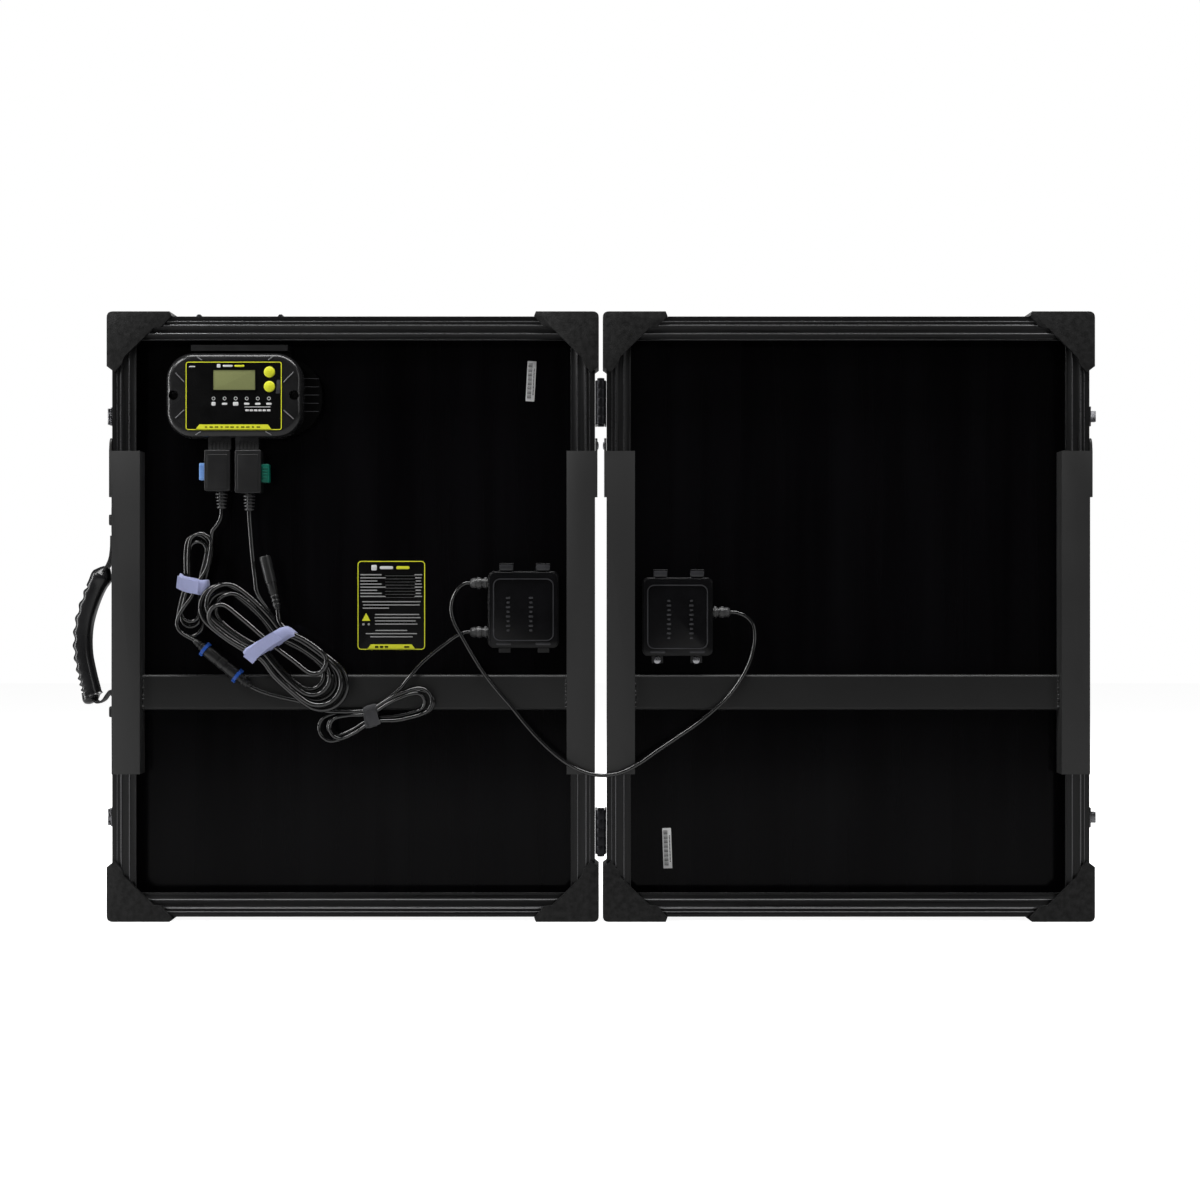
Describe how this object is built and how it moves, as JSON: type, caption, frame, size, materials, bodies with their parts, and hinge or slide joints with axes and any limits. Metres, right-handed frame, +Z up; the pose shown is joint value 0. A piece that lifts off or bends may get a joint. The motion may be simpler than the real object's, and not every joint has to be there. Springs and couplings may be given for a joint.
{
  "type": "solar suitcase kit",
  "caption": "Folding two-panel solar suitcase with hinged frames, fold-out leg frames, charge controller, junction boxes, leads, latches and a carrying handle.",
  "frame": {"origin": "middle of the base, on the surface that the lower corner protectors stand on, measured without the leads", "axes": "+X along the open case towards the keeper side, +Y out of the glass side, +Z up"},
  "size_m": [1.1446, 0.0569, 0.679],
  "materials": {
    "frame": "black anodised extrusion with machined ridges",
    "laminate": "glossy black backsheet, dark glass front",
    "corner_plastic": "fine-textured moulded black plastic",
    "hinge_metal": "black-coated steel",
    "leg_paint": "dark grey powder coat",
    "webbing": "woven webbing",
    "grip": "ribbed charcoal grip",
    "latch_metal": "bright nickel plate",
    "bracket": "satin black",
    "heat_sink": "black anodised fins",
    "controller_plastic": "satin black housing",
    "button_yellow": "yellow-green membrane button",
    "plug_plastic": "moulded black plug",
    "junction_plastic": "satin black moulded box",
    "connector_plastic": "moulded connector",
    "lead_jacket": "black jacket"
  },
  "bodies": {
    "left_panel": {"left_frame_top_rail": "frame", "left_frame_bottom_rail": "frame", "left_frame_inner_rail": "frame", "left_frame_outer_rail": "frame", "left_panel_laminate": "laminate", "left_upper_inner_corner": "corner_plastic", "left_upper_outer_corner": "corner_plastic", "left_lower_inner_corner": "corner_plastic", "left_lower_outer_corner": "corner_plastic", "upper_hinge_left_leaf": "hinge_metal", "lower_hinge_left_leaf": "hinge_metal", "upper_hinge_pin": "hinge_metal", "lower_hinge_pin": "hinge_metal", "handle_upper_mount": "corner_plastic", "handle_lower_mount": "corner_plastic", "upper_latch_base": "latch_metal", "lower_latch_base": "latch_metal", "controller_bracket": "bracket", "controller_heat_sink": "heat_sink", "controller_housing": "controller_plastic", "controller_input_plug": "plug_plastic", "controller_output_plug": "plug_plastic", "left_junction_box_base": "junction_plastic", "left_junction_box_upper_gland": "junction_plastic", "left_junction_box_lower_gland": "junction_plastic", "interconnecting_lead": "lead_jacket", "panel_lead_run": "lead_jacket", "panel_lead_hank": "lead_jacket", "panel_lead_tail": "lead_jacket", "inline_connector": "connector_plastic", "controller_lead_bundle": "lead_jacket", "controller_lead_drop": "lead_jacket", "output_lead_run": "lead_jacket", "output_lead_hank": "lead_jacket", "output_connector": "connector_plastic"},
    "right_panel": {"right_frame_top_rail": "frame", "right_frame_bottom_rail": "frame", "right_frame_inner_rail": "frame", "right_frame_outer_rail": "frame", "right_panel_laminate": "laminate", "right_upper_inner_corner": "corner_plastic", "right_upper_outer_corner": "corner_plastic", "right_lower_inner_corner": "corner_plastic", "right_lower_outer_corner": "corner_plastic", "upper_hinge_right_leaf": "hinge_metal", "lower_hinge_right_leaf": "hinge_metal", "upper_latch_keeper": "latch_metal", "lower_latch_keeper": "latch_metal", "right_junction_box_base": "junction_plastic", "right_junction_box_gland": "junction_plastic"},
    "left_leg": {"left_leg_frame": "leg_paint"},
    "right_leg": {"right_leg_frame": "leg_paint"},
    "handle": {"handle_strap": "webbing", "handle_grip": "grip"},
    "upper_latch": {"upper_latch_lever": "latch_metal"},
    "lower_latch": {"lower_latch_lever": "latch_metal"},
    "upper_button": {"controller_upper_button": "button_yellow"},
    "lower_button": {"controller_lower_button": "button_yellow"},
    "left_box_lid": {"left_junction_box_lid": "junction_plastic"},
    "right_box_lid": {"right_junction_box_lid": "junction_plastic"}
  },
  "joints": [
    {"name": "case_fold", "type": "hinge", "parent": "left_panel", "child": "right_panel", "pos_m": [0.02052, -0.01928, 0], "axis": [0, 0, 1], "range_deg": [-180, 0], "deforming": ["interconnecting_lead"]},
    {"name": "left_leg_swing", "type": "hinge", "parent": "left_panel", "child": "left_leg", "pos_m": [-0.25448, -0.00762, 0.5305], "axis": [-1, 0, 0], "range_deg": [0, 75], "deforming": ["output_lead_hank", "panel_lead_hank", "inline_connector", "panel_lead_tail", "panel_lead_run"]},
    {"name": "right_leg_swing", "type": "hinge", "parent": "right_panel", "child": "right_leg", "pos_m": [0.29552, -0.00762, 0.5305], "axis": [-1, 0, 0], "range_deg": [0, 75]},
    {"name": "handle_swing", "type": "hinge", "parent": "left_panel", "child": "handle", "pos_m": [-0.52648, 0.00237, 0.34], "axis": [0, 0, 1], "range_deg": [-20, 20], "deforming": ["handle_strap"]},
    {"name": "upper_latch_swing", "type": "hinge", "parent": "left_panel", "child": "upper_latch", "pos_m": [-0.52828, -0.00863, 0.5627], "axis": [0, 0, -1], "range_deg": [-180, 0]},
    {"name": "lower_latch_swing", "type": "hinge", "parent": "left_panel", "child": "lower_latch", "pos_m": [-0.52828, -0.00863, 0.1156], "axis": [0, 0, -1], "range_deg": [-180, 0]},
    {"name": "upper_button_press", "type": "slide", "parent": "left_panel", "child": "upper_button", "axis": [0, 1, 0], "range_m": [0, 0.0012], "stiffness_N_per_m": 400},
    {"name": "lower_button_press", "type": "slide", "parent": "left_panel", "child": "lower_button", "axis": [0, 1, 0], "range_m": [0, 0.0012], "stiffness_N_per_m": 400},
    {"name": "left_box_lid_swing", "type": "hinge", "parent": "left_panel", "child": "left_box_lid", "pos_m": [-0.06598, -0.00528, 0.3947], "axis": [-1, 0, 0], "range_deg": [0, 100]},
    {"name": "right_box_lid_swing", "type": "hinge", "parent": "right_panel", "child": "right_box_lid", "pos_m": [0.10622, -0.00528, 0.3877], "axis": [-1, 0, 0], "range_deg": [0, 100]}
  ]
}
